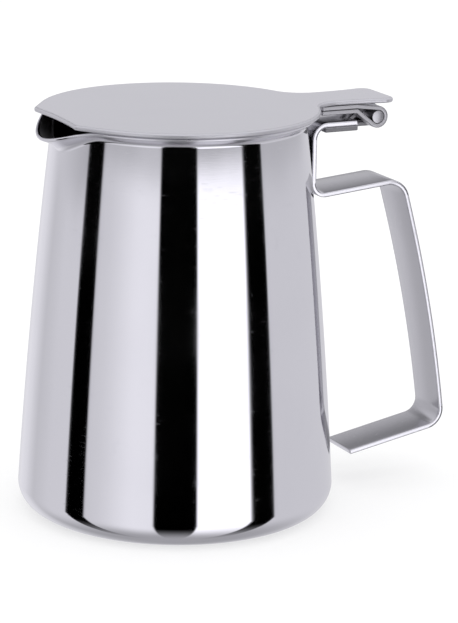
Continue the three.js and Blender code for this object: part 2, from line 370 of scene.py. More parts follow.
def volume_of(points: Array, triangles: Array) -> float:
    """Signed volume: a sixth of the sum of each triangle's triple product."""
    a, b, c = (points[triangles[:, k]] for k in range(3))
    return float(np.einsum("ij,ij->i", a, np.cross(b, c)).sum() / 6)


def make_mesh(
    name: str,
    points: Array,
    quads: Array,
    triangles: Array | None = None,
    caps: list[Array] | None = None,
    attributes: dict[str, Array] | None = None,
    slots: Array | None = None,
) -> bpy.types.Object:
    """Makes a smooth closed mesh whose faces look outwards.

    Args:
        name: name of the piece.
        points: vertices in millimetres.
        quads: vertex numbers of the four-sided faces.
        triangles: vertex numbers of the three-sided faces.
        caps: vertex numbers of flat many-sided faces.
        attributes: number for each vertex, by name.
        slots: material slot of each face, in the order quads, triangles, caps.

    Returns:
        The new object, at the origin.
    """
    triangles = np.zeros((0, 3), int) if triangles is None else triangles
    caps = caps or []
    fans = [np.stack([np.full(len(c) - 2, c[0]), c[1:-1], c[2:]], -1) for c in caps]
    halves = [quads[:, [0, 1, 2]], quads[:, [0, 2, 3]], triangles, *fans]
    if volume_of(points, np.vstack(halves)) < 0:
        quads, triangles, caps = quads[:, ::-1], triangles[:, ::-1], [c[::-1] for c in caps]
    corners = np.concatenate([quads.ravel(), triangles.ravel(), *caps]).astype(np.int32)
    counts = np.concatenate([
        np.full(len(quads), 4), np.full(len(triangles), 3), [len(c) for c in caps],
    ]).astype(np.int32)
    starts = np.concatenate([[0], np.cumsum(counts)[:-1]]).astype(np.int32)
    mesh = bpy.data.meshes.new(name)
    mesh.vertices.add(len(points))
    mesh.vertices.foreach_set("co", (points * MM).astype(np.float32).ravel())
    mesh.loops.add(len(corners))
    mesh.loops.foreach_set("vertex_index", corners)
    mesh.polygons.add(len(counts))
    mesh.polygons.foreach_set("loop_start", starts)
    smooth = np.ones(len(counts), bool)
    smooth[len(counts) - len(caps):] = False
    mesh.polygons.foreach_set("use_smooth", smooth)
    if slots is not None:
        mesh.polygons.foreach_set("material_index", slots.astype(np.int32))
    for key, values in (attributes or {}).items():
        mesh.attributes.new(key, "FLOAT", "POINT").data.foreach_set("value", values.astype(np.float32))
    mesh.update(calc_edges=True)
    mesh.validate()
    return new_object(name, mesh)


def turned_mesh(name: str, rings: Array, slots: Array | None = None) -> bpy.types.Object:
    """Mesh of a section carried round an axis, with one vertex at each end of the section.

    Args:
        name: name of the piece.
        rings: points as (round the axis, along the section, xyz); the first and last points of
            the section lie on the axis.
        slots: material slot of each step of the section.

    Returns:
        The new object.
    """
    around, along = rings.shape[:2]
    inner = rings[:, 1:-1]
    index = np.arange(around * (along - 2)).reshape(around, along - 2)
    first, last = index.size, index.size + 1
    points = np.vstack([inner.reshape(-1, 3), rings[0, 0], rings[0, -1]])
    ahead = np.roll(index, -1, 0)
    start = np.stack([np.full(around, first), ahead[:, 0], index[:, 0]], -1)
    end = np.stack([np.full(around, last), index[:, -1], ahead[:, -1]], -1)
    steps = along - 3
    if slots is not None:
        slots = np.concatenate([
            np.tile(slots[1:1 + steps], around), np.full(around, slots[0]), np.full(around, slots[-1]),
        ])
    return make_mesh(name, points, closed_quads(index), np.vstack([start, end]), slots=slots)


def coat(piece: bpy.types.Object, *finishes: Steel) -> None:
    """Gives a piece one material slot for each finish, in order."""
    for finish in finishes:
        piece.data.materials.append(finish.make())


def smoothstep(share: Array) -> Array:
    """Eased share: 3 s squared less 2 s cubed, held between 0 and 1."""
    s = np.clip(share, 0, 1)
    return s * s * (3 - 2 * s)


def left_normals(line: Array) -> Array:
    """Unit normals to the left of a line of 2-D points.

    Args:
        line: points, with the pair on the last axis and the steps of the line on the one before.

    Returns:
        A unit vector for each point.
    """
    step = np.gradient(line, axis=-2)
    step = step / np.linalg.norm(step, axis=-1, keepdims=True)
    return np.stack([-step[..., 1], step[..., 0]], -1)


# ---- the drawn body ----


@dataclass
class JugBody:
    """Body drawn from one sheet: flat base, leaning wall, flared rim and pressed pouring lip."""

    height: float = 98.6
    sheet: float = 0.8
    base_radius: float = 39.1
    neck_radius: float = 31.05
    swell: float = 0.6
    corner: float = 6.2
    flare_rise: float = 2.2
    flare_reach: float = 2.2
    lip_half_angle: float = 31.0
    lip_dip: float = 3.5
    lip_extra_rise: float = 1.2
    lip_extra_reach: float = 3.0
    around: int = 384
    corner_steps: int = 14
    wall_steps: int = 45
    flare_steps: int = 18
    edge_steps: int = 10
    outside: Steel = Steel("mirror_steel", foot_wear=0.3, flare_haze=0.22)
    # The inside's dark tint is painted shade for the dim hollow of the jug; its higher roughness is the
    # satin of the formed inside.
    inside: Steel = Steel(
        "inside_steel_painted_shade", tint=(0.34, 0.34, 0.35), shaded=(0.30, 0.30, 0.31), roughness=0.32,
        smear=0.08)

    @property
    def rim_edge(self) -> float:
        """Height of the middle of the rounded rim edge."""
        return self.height - self.sheet / 2

    def wall_radius(self, z: Array | float) -> Array | float:
        """Outer radius of the wall: a straight taper plus a parabola that swells half way up."""
        t = (z - self.corner) / (self.rim_edge - self.flare_rise - self.corner)
        return self.base_radius + (self.neck_radius - self.base_radius) * t + self.swell * 4 * t * (1 - t)

    @property
    def rim_radius(self) -> float:
        """Outer radius of the flared rim away from the lip."""
        return float(self.wall_radius(self.rim_edge)) + self.flare_reach

    def middle_lines(self, angles: Array) -> Array:
        """Middle of the sheet from the axis to the rim, as (angle, step, radius and height).

        The base is straight and the corner a quarter circle. The wall is the wall line less half
        the sheet, and the flare adds the reach times the square of the share of its rise. Round the
        lip the rim drops and the flare grows by an eased share of the angle off the tip. Steps get
        short beside each bend, which keeps the smooth shading of the flat parts true.

        Args:
            angles: angles round the axis, in radians from +X.

        Returns:
            The lines, base centre first.
        """
        half = self.sheet / 2
        off_tip = np.abs(np.angle(np.exp(1j * (angles - math.pi))))
        share = smoothstep(1 - off_tip / math.radians(self.lip_half_angle))[:, None]
        edge = self.rim_edge - self.lip_dip * share
        rise = self.flare_rise + self.lip_extra_rise * share
        reach = self.flare_reach + self.lip_extra_reach * share
        flat = self.base_radius - self.corner
        ones = np.ones_like(share)
        base_shares = np.array([0, 0.02, 0.3, 0.7, 0.95, 0.99])
        base_r = base_shares[None, :] * flat * ones
        turn = np.linspace(0, math.pi / 2, self.corner_steps + 1)[None, :]
        corner_r = flat + (self.corner - half) * np.sin(turn) * ones
        corner_z = self.corner - (self.corner - half) * np.cos(turn) * ones
        eased = (1 - np.cos(np.linspace(0, math.pi, self.wall_steps + 1)[None, 1:])) / 2
        wall_z = self.corner + (edge - rise - self.corner) * eased
        s = np.linspace(0, 1, self.flare_steps + 1)[None, 1:]
        flare_z = edge - rise + rise * s
        wall_r = self.wall_radius(wall_z) - half
        flare_r = self.wall_radius(flare_z) - half + reach * s * s
        radius = np.hstack([base_r, corner_r, wall_r, flare_r])
        height = np.hstack([half + 0 * base_r, corner_z, wall_z, flare_z])
        return np.stack([radius, height], -1)

    def build(self) -> bpy.types.Object:
        """Builds the closed shell: outside up, round the rim edge, and inside down again.

        Returns:
            The body, with the outside and inside finishes.
        """
        angles = np.arange(self.around) * 2 * math.pi / self.around
        middle = self.middle_lines(angles)
        normals = left_normals(middle)
        normals[:, 0] = (0, 1)
        half = self.sheet / 2
        tip, out = middle[:, -1], -normals[:, -1]
        turns = np.linspace(0, math.pi, self.edge_steps + 1)[None, 1:-1, None]
        ahead = np.stack([-out[:, 1], out[:, 0]], -1)
        spoke = np.cos(turns) * out[:, None] + np.sin(turns) * ahead[:, None]
        edge = tip[:, None] + half * spoke
        section = np.concatenate([middle - half * normals, edge, (middle + half * normals)[:, ::-1]], 1)
        radius, height = section[..., 0], section[..., 1]
        rings = np.stack([
            radius * np.cos(angles)[:, None], radius * np.sin(angles)[:, None], height,
        ], -1)
        slots = np.zeros(section.shape[1] - 1, int)
        slots[middle.shape[1] + edge.shape[1] + 1:] = 1
        body = turned_mesh("jug_body", rings, slots)
        coat(body, self.outside, self.inside)
        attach(body, Body.JUG.value)
        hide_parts("body_shell")
        return body


# ---- bent sheet ----


@dataclass(frozen=True)
class Corner:
    """Corner of a bent line, in the XZ plane; a bend of 0 keeps it sharp."""

    x: float
    z: float
    bend: float = 0.0


@dataclass(frozen=True)
class Hinge:
    """Where the pin lies, and the sizes that both leaves share."""

    pin_x: float
    pin_z: float
    pin_radius: float = 1.6
    clearance: float = 0.08
    knuckle_zone: float = 5.9
    fold_slit: float = 0.08

    @property
    def bore(self) -> float:
        """Inner radius of a knuckle."""
        return self.pin_radius + self.clearance

    @property
    def leaf_edge(self) -> float:
        """Place along X where the leaves are full width."""
        return self.pin_x - self.knuckle_zone

    def loop(
        self, start: tuple[float, float], end: tuple[float, float], radius: float, way: int, steps: int = 60
    ) -> list[Corner]:
        """Arc round the pin that leaves both leaf layers along a tangent.

        Args:
            start: end of the first layer, as (x, z).
            end: start of the second layer.
            radius: radius of the strip's middle round the pin.
            way: 1 where the strip passes under the pin first, -1 where it passes over it first.
            steps: steps of the arc.

        Returns:
            Points of the arc.
        """
        def tangent(point: tuple[float, float], sign: int) -> float:
            """Angle of the tangent point seen from the pin."""
            dx, dz = point[0] - self.pin_x, point[1] - self.pin_z
            return math.atan2(dz, dx) + sign * math.acos(radius / math.hypot(dx, dz))

        first = tangent(start, way)
        sweep = tangent(end, -way) - first
        sweep += way * 2 * math.pi * max(0, math.ceil(-way * sweep / (2 * math.pi)))
        angles = first + sweep * np.linspace(0, 1, steps + 1)
        places = zip(self.pin_x + radius * np.cos(angles), self.pin_z + radius * np.sin(angles))
        return [Corner(float(x), float(z)) for x, z in places]


BEND_STEP = math.radians(3)
LEAST_BEND_STEPS = 16


def bent_line(corners: list[Corner]) -> Array:
    """Line through corners, each bend made an arc that touches both of its sides.

    The arc starts the bend radius times the tangent of half the turn before its corner.

    Args:
        corners: corners in order.

    Returns:
        Points of the line.
    """
    places = np.array([(c.x, c.z) for c in corners])
    parts: list[Array] = []
    for i, corner in enumerate(corners):
        here = places[i]
        if not corner.bend:
            parts.append(here[None])
            continue
        into, onward = here - places[i - 1], places[i + 1] - here
        into, onward = into / np.linalg.norm(into), onward / np.linalg.norm(onward)
        turn = math.atan2(into[0] * onward[1] - into[1] * onward[0], float(into @ onward))
        start = here - into * corner.bend * math.tan(abs(turn) / 2)
        side = math.copysign(1, turn)
        centre = start + side * corner.bend * np.array([-into[1], into[0]])
        steps = max(LEAST_BEND_STEPS, math.ceil(abs(turn) / BEND_STEP))
        angle = turn * np.linspace(0, 1, steps + 1)[:, None]
        arm = start - centre
        parts.append(centre + np.cos(angle) * arm + np.sin(angle) * np.array([-arm[1], arm[0]]))
    return np.vstack(parts)


@dataclass
class BentSheet:
    """Sheet of one gauge along a line in the XZ plane, with parts of its width cut away.

    Its faces have material slot 0 and its walls slot 1.
    """

    line: Array
    half_widths: Array
    gauge: float
    columns: Array
    keep: Array
    edge_round: float = 0.3
    round_steps: int = 4
    sharpest_smooth: float = 50.0

    def build(self, name: str) -> bpy.types.Object:
        """Builds the closed sheet: both faces of every kept cell and a wall wherever a kept cell ends.

        A point of a face is the line's point plus or minus half the gauge along the line's normal,
        drawn out by one over the cosine of half the turn there, and the column's share of the half
        width along Y.

        Args:
            name: name of the piece.

        Returns:
            The piece, with its edges rounded where they turn more than the sharpest smooth angle.
        """
        rows, across = len(self.line), len(self.columns)
        step = np.diff(self.line, axis=0)
        length = np.linalg.norm(step, axis=1)
        heading = np.unwrap(np.arctan2(step[:, 1], step[:, 0]))
        before, after = np.concatenate([heading[:1], heading]), np.concatenate([heading, heading[-1:]])
        mean = (before + after) / 2
        spread = (self.gauge / 2 / np.cos((after - before) / 2))[:, None]
        offset = np.stack([-np.sin(mean), np.cos(mean)], -1) * spread
        y = self.half_widths[:, None] * self.columns[None, :]
        sides = []
        for side in (1, -1):
            xz = (self.line + side * offset)[:, None, :] + np.zeros((1, across, 1))
            sides.append(np.stack([xz[..., 0], y, xz[..., 1]], -1).reshape(-1, 3))
        points = np.concatenate(sides)
        top = np.arange(rows * across).reshape(rows, across)
        under = top + rows * across
        kept = self.keep.ravel()
        faces = np.vstack([quads_of(top)[kept], quads_of(under)[kept][:, ::-1]])
        walls = np.vstack(self._walls(top, under))
        quads = np.vstack([faces, walls])
        slots = np.repeat([0, 1], [len(faces), len(walls)])
        used, flat = np.unique(quads, return_inverse=True)
        along = np.concatenate([[0], np.cumsum(length)])[:, None] + 0 * y
        attributes = {
            "along": np.tile(along.ravel(), 2)[used] * MM,
            "across": np.tile(y.ravel(), 2)[used] * MM,
        }
        piece = make_mesh(name, points[used], flat.reshape(quads.shape), attributes=attributes, slots=slots)
        rounding = piece.modifiers.new("edge_rounding", "BEVEL")
        rounding.width = self.edge_round * MM
        rounding.segments = self.round_steps
        rounding.limit_method = "ANGLE"
        rounding.angle_limit = math.radians(self.sharpest_smooth)
        piece.modifiers.new("even_shading", "WEIGHTED_NORMAL")
        return piece

    def _walls(self, top: Array, under: Array) -> list[Array]:
        """Walls on the sides of every kept cell that have no kept neighbour.

        Args:
            top: vertex numbers of one face, as (along, across).
            under: vertex numbers of the other face.

        Returns:
            The walls' quads, one array for each of the four sides.
        """
        around = np.pad(self.keep, 1)
        bare = {
            "start": self.keep & ~around[:-2, 1:-1],
            "end": self.keep & ~around[2:, 1:-1],
            "low": self.keep & ~around[1:-1, :-2],
            "high": self.keep & ~around[1:-1, 2:],
        }
        a, b, c, d = top[:-1, :-1], top[1:, :-1], top[1:, 1:], top[:-1, 1:]
        p, q, r, s = under[:-1, :-1], under[1:, :-1], under[1:, 1:], under[:-1, 1:]
        sides = {"start": (d, a, p, s), "end": (b, c, r, q), "low": (a, b, q, p), "high": (c, d, s, r)}
        return [np.stack([v[bare[k]] for v in sides[k]], -1)[:, ::-1] for k in sides]


# ---- the handle strip ----


@dataclass
class HandleStrip:
    """Strip that folds round the hinge pin, runs down the wall and out into an open handle."""

    body: JugBody
    hinge: Hinge
    back: float
    gauge: float = 1.2
    width: float = 14.06
    end_width: float = 12.35
    leaf_drop: float = 1.0
    leaf_tail: float = 15.0
    leaf_bend: float = 3.5
    arm_bend: float = 3.2
    arm_below_rim: float = 22.25
    arm_reach: float = 25.3
    arm_lift: float = 2.4
    grip_top_corner: float = 5.2
    grip_flare: float = 14.0
    grip_bow: float = 2.3
    grip_bow_radius: float = 380.0
    grip_middle_drop: float = 34.9
    grip_foot_height: float = 13.85
    grip_bottom_corner: float = 4.3
    free_end_gap: float = 7.1
    free_end_height: float = 8.75
    centre_knuckle: float = 4.9
    between_columns: float = 0.8
    finish: Steel = Steel(
        "strip_steel", tint=(0.565, 0.56, 0.585), shaded=(0.53, 0.525, 0.55), roughness=0.2, smear=0.04,
        grain=Grain.ALONG, line_depth=0.0000012, crown=11.0)
    edge_finish: Steel = Steel("strip_edge_steel", roughness=0.14, grain=Grain.ALONG)
    # The leaf's lower layer and the part beside the pin get near-black walls. The darkness is painted shade
    # for the shadow under the upper layer and the lid; the roughness is that of a sheared edge.
    painted_shade_reach: float = 5.0
    tail_margin: float = 0.1
    leaf_shade_finish: Steel = Steel(
        "sheared_leaf_painted_shade", tint=(0.30, 0.297, 0.31), shaded=(0.16, 0.158, 0.165), roughness=0.42,
        smear=0.12)

    def corners(self) -> tuple[list[Corner], int, int]:
        """Corners of the strip's middle line.

        Returns:
            The corners, and how many points lie before and up to the end of the knuckle.
        """
        radius = self.hinge.bore + self.gauge / 2
        upper_z = self.hinge.pin_z - self.leaf_drop
        lower_z = upper_z - self.gauge - self.hinge.fold_slit
        edge = self.hinge.leaf_edge
        knuckle = self.hinge.loop((edge, lower_z), (edge, upper_z), radius, 1)
        wall_x = self.back + self.gauge / 2
        arm_z = self.body.height - self.arm_below_rim
        top_x, top_z = wall_x + self.arm_reach, arm_z + self.arm_lift
        share = self.grip_middle_drop / (top_z - self.grip_foot_height)
        corners = [
            Corner(self.hinge.pin_x - self.leaf_tail, lower_z),
            Corner(edge, lower_z),
            *knuckle,
            Corner(edge, upper_z),
            Corner(wall_x, upper_z, self.leaf_bend),
            Corner(wall_x, arm_z, self.arm_bend),
            Corner(top_x, top_z, self.grip_top_corner),
            Corner(top_x + self.grip_flare * share + self.grip_bow, top_z - self.grip_middle_drop,
                   self.grip_bow_radius),
            Corner(top_x + self.grip_flare, self.grip_foot_height, self.grip_bottom_corner),
            Corner(self.body.base_radius + self.free_end_gap, self.free_end_height),
        ]
        return corners, 1, len(knuckle) + 2

    def build(self) -> bpy.types.Object:
        """Builds the strip, which narrows evenly from the foot of its wall section to its free end.

        Returns:
            The strip.
        """
        corners, first, last = self.corners()
        line = bent_line(corners)
        length = np.concatenate([[0], np.cumsum(np.linalg.norm(np.diff(line, axis=0), axis=1))])
        wall_foot = self.body.height - self.arm_below_rim + self.arm_bend
        arm_start = int(np.argmax((line[:, 1] < wall_foot) & (line[:, 0] > self.back)))
        share = np.clip((length - length[arm_start]) / (length[-1] - length[arm_start]), 0, 1)
        half_widths = (self.width + (self.end_width - self.width) * share) / 2
        inner = self.centre_knuckle / self.width
        beside = self.between_columns
        columns = np.array([-1, -beside, -inner, 0, inner, beside, 1])
        keep = np.ones((len(line) - 1, len(columns) - 1), bool)
        keep[first:last, :2] = False
        keep[first:last, -2:] = False
        piece = BentSheet(line, half_widths, self.gauge, columns, keep).build("handle_strip_bent")
        coat(piece, self.finish, self.edge_finish, self.leaf_shade_finish)
        self._paint_leaf_shade(piece)
        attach(piece, Body.JUG.value)
        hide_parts("handle_strip")
        return piece

    def _paint_leaf_shade(self, piece: bpy.types.Object) -> None:
        """Paints shade on the walls of the leaf's lower layer and of the part next to the pin, as a dark,
        rough finish.

        Args:
            piece: the finished strip, whose walls have slot 1; the walls painted with shade get slot 2.
        """
        polygons = piece.data.polygons
        centres, slots = np.empty(len(polygons) * 3, np.float32), np.empty(len(polygons), np.int32)
        polygons.foreach_get("center", centres)
        polygons.foreach_get("material_index", slots)
        x, z = centres[0::3] / MM, centres[2::3] / MM
        lower_top = self.hinge.pin_z - self.leaf_drop - self.gauge / 2
        tail = self.hinge.pin_x - self.leaf_tail - self.tail_margin
        lower = (z < lower_top) & (x > tail)
        beside_pin = x > self.hinge.pin_x - self.painted_shade_reach
        in_leaf = z > lower_top - 2 * self.gauge
        # These walls get the near-black finish: painted shade under the upper layer and the lid.
        slots[(slots == 1) & in_leaf & (lower | beside_pin)] = 2
        polygons.foreach_set("material_index", slots)


# ---- the lid ----


def arc(centre: tuple[float, float], radius: float, start: float, end: float, steps: int = 24) -> Array:
    """Points of an arc between two angles in radians."""
    angle = np.linspace(start, end, steps + 1)
    return np.stack([centre[0] + radius * np.cos(angle), centre[1] + radius * np.sin(angle)], -1)


def curve(start: Array | tuple, control: Array | tuple, end: Array | tuple, steps: int = 12) -> Array:
    """Points of a parabola from start to end: the squares of 1 - t and t, and twice their product."""
    t = np.linspace(0, 1, steps + 1)[:, None]
    start, control, end = np.array([start, control, end])
    return (1 - t) ** 2 * start + 2 * t * (1 - t) * control + t * t * end


@dataclass
class LidPlate:
    """Flat stamped plate with a hollow cut over the lip and a thumb tongue over the hinge."""

    rim_radius: float
    underside: float
    tongue_end: float
    sheet: float = 1.2
    overhang: float = 1.2
    cutback: float = 2.0
    ear_angle: float = 21.0
    ear_reach: float = 1.0
    ear_corner: float = 0.8
    waist: float = 13.2
    end_width: float = 15.6
    fillet: float = 8.0
    tongue_corner: float = 3.0
    edge_round: float = 0.5
    edge_steps: int = 6
    round_steps: int = 72
    ear_steps: int = 8
    cut_steps: int = 48
    least_step: float = 0.005
    finish: Steel = Steel("lid_mirror_steel", grain=Grain.STRAIGHT)
    edge_finish: Steel = Steel(
        "stamped_edge_steel", tint=(0.72, 0.715, 0.745), shaded=(0.68, 0.675, 0.705), roughness=0.42,
        smear=0.1)

    def half_outline(self) -> Array:
        """The +Y half of the outline, from the middle of the tongue's end to the middle of the cut.

        The tongue ends in rounded corners, narrows along a parabola to its waist, runs through a
        hollow arc into the round plate, and leaves that along a tangent to the ear of the cut.

        Returns:
            Points of the half outline, without repeats.
        """
        radius = self.rim_radius + self.overhang
        end, half_end, waist = self.tongue_end, self.end_width / 2, self.waist / 2
        fillet_y = waist + self.fillet
        fillet_x = math.sqrt((radius + self.fillet) ** 2 - fillet_y ** 2)
        meet = math.atan2(fillet_y, fillet_x)
        ear_radius = radius + self.ear_reach
        ear_at = math.pi - math.radians(self.ear_angle)
        leave_at = ear_at - math.acos(radius / ear_radius)
        ear = ear_radius * np.array([math.cos(ear_at), math.sin(ear_at)])
        leave = radius * np.array([math.cos(leave_at), math.sin(leave_at)])
        control = np.array([2 * (self.cutback - radius) - ear[0], 0.0])
        before = ear + (leave - ear) * self.ear_corner / np.linalg.norm(leave - ear)
        after = ear + (control - ear) * self.ear_corner / np.linalg.norm(control - ear)
        cut = curve(after, control, after * np.array([1, -1]), self.cut_steps)
        side, tip = end - self.tongue_corner, half_end - self.tongue_corner
        parts = [
            np.array([[end, 0.0]]),
            curve((end, tip), (end, half_end), (side, half_end)),
            curve((side, half_end), ((fillet_x + end) / 2, waist), (fillet_x, waist)),
            arc((fillet_x, fillet_y), self.fillet, -math.pi / 2, meet - math.pi),
            arc((0, 0), radius, meet, leave_at, self.round_steps),
            curve(before, ear, after, self.ear_steps),
            cut[1:self.cut_steps // 2 + 1],
        ]
        points = np.vstack(parts)
        step = np.linalg.norm(np.diff(points, axis=0), axis=1)
        return points[np.concatenate([[True], step > self.least_step])]

    def build(self) -> bpy.types.Object:
        """Builds the plate: the outline carried round its edge, with a flat face above and below.

        Each ring of the edge is the outline moved inwards along its own normal by the edge radius
        less that radius times the cosine of the turn, at the height that the sine gives.

        Returns:
            The plate.
        """
        half = self.half_outline()
        mirrored = half[1:-1][::-1] * np.array([1, -1])
        outline = np.vstack([half, mirrored])
        ahead, behind = np.roll(outline, -1, 0) - outline, outline - np.roll(outline, 1, 0)
        ahead /= np.linalg.norm(ahead, axis=1, keepdims=True)
        behind /= np.linalg.norm(behind, axis=1, keepdims=True)
        mean = ahead + behind
        mean /= np.linalg.norm(mean, axis=1, keepdims=True)
        inward = np.stack([-mean[:, 1], mean[:, 0]], -1)
        turn = np.linspace(0, math.pi / 2, self.edge_steps + 1)
        inset = self.edge_round * (1 - np.sin(turn))
        lift = self.edge_round * (1 - np.cos(turn))
        top = self.underside + self.sheet
        insets = np.concatenate([inset, inset[::-1]])
        heights = np.concatenate([self.underside + lift, (top - lift)[::-1]])
        flat = outline[:, None] + inward[:, None] * insets[None, :, None]
        rings = np.broadcast_to(heights[None, :, None], (*flat.shape[:2], 1))
        points = np.concatenate([flat, rings], -1)
        index = np.arange(flat[..., 0].size).reshape(flat.shape[:2])
        quads = closed_quads(index)
        slots = np.concatenate([np.ones(len(quads)), [0, 0]])
        caps = [index[::-1, 0], index[:, -1]]
        piece = make_mesh("lid_plate_stamped", points.reshape(-1, 3), quads, caps=caps, slots=slots)
        coat(piece, self.finish, self.edge_finish)
        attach(piece, Body.LID.value)
        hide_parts("lid_plate")
        return piece


@dataclass
class HingeStrap:
    """Strap folded double round the pin, whose window leaves two knuckles, fixed under the tongue."""

    hinge: Hinge
    underside: float
    gauge: float = 1.05
    width: float = 13.0
    gap: float = 0.1
    length: float = 15.6
    centre_knuckle: float = 4.9
    side_gap: float = 0.25
    edge_round: float = 0.25
    # Both strap tints are darker than the lid's: partly a duller finish, partly painted shade for the shadow
    # under the lid's tongue.
    finish: Steel = Steel(
        "strap_steel", tint=(0.46, 0.456, 0.475), shaded=(0.42, 0.416, 0.433), roughness=0.32, smear=0.06,
        grain=Grain.ALONG, line_depth=0.0000015)
    edge_finish: Steel = Steel(
        "strap_edge_painted_shade", tint=(0.55, 0.545, 0.565), shaded=(0.50, 0.495, 0.515), roughness=0.36)

    def build(self) -> bpy.types.Object:
        """Builds the strap along its middle line, with the window between its two knuckles.

        Returns:
            The strap.
        """
        radius = self.hinge.bore + self.gauge / 2
        upper_z = self.underside - self.gap - self.gauge / 2
        lower_z = upper_z - self.gauge - self.hinge.fold_slit
        edge = self.hinge.leaf_edge
        knuckle = self.hinge.loop((edge, upper_z), (edge, lower_z), radius, -1)
        start = self.hinge.pin_x - self.length
        upper, lower = ((Corner(start, z), Corner(edge, z)) for z in (upper_z, lower_z))
        line = bent_line([*upper, *knuckle, *lower[::-1]])
        inner = (self.centre_knuckle / 2 + self.side_gap) / (self.width / 2)
        columns = np.array([-1, -inner, 0, inner, 1])
        keep = np.ones((len(line) - 1, len(columns) - 1), bool)
        keep[1:len(knuckle) + 2, 1:3] = False
        half_widths = np.full(len(line), self.width / 2)
        sheet = BentSheet(line, half_widths, self.gauge, columns, keep, self.edge_round)
        piece = sheet.build("lid_strap_folded")
        coat(piece, self.finish, self.edge_finish)
        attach(piece, Body.LID.value)
        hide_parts("lid_hinge_strap")
        return piece


@dataclass
class HingePin:
    """Plain pin with slightly domed, rounded ends."""

    hinge: Hinge
    half_length: float = 6.5
    end_round: float = 0.15
    dome: float = 0.08
    around: int = 96
    end_steps: int = 7
    finish: Steel = Steel(
        "pin_steel", tint=(0.60, 0.595, 0.62), shaded=(0.55, 0.545, 0.57), roughness=0.28, smear=0.06)

    def build(self) -> bpy.types.Object:
        """Builds the pin: a half section carried round the Y direction.

        An end's dome falls with the square of the radius, and a quarter circle joins it to the side.

        Returns:
            The pin.
        """
        radius, rounding = self.hinge.pin_radius, self.end_round
        flat = radius - rounding
        share = np.linspace(0, 1, self.end_steps + 1)
        turn = share[1:] * math.pi / 2
        face_y = self.half_length - self.dome * share ** 2
        edge_y = self.half_length - self.dome - rounding * (1 - np.cos(turn))
        r = np.concatenate([flat * share, flat + rounding * np.sin(turn)])
        y = np.concatenate([face_y, edge_y])
        r, y = np.concatenate([r, [radius], r[::-1]]), np.concatenate([y, [0], -y[::-1]])
        angles = np.arange(self.around) * 2 * math.pi / self.around
        rings = np.stack([
            self.hinge.pin_x + np.cos(angles)[:, None] * r,
            np.broadcast_to(y, (len(angles), len(y))),
            self.hinge.pin_z + np.sin(angles)[:, None] * r,
        ], -1)
        piece = turned_mesh("hinge_pin_turned", rings)
        coat(piece, self.finish)
        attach(piece, Body.JUG.value)
        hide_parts("hinge_pin")
        return piece


# ---- the studio ----


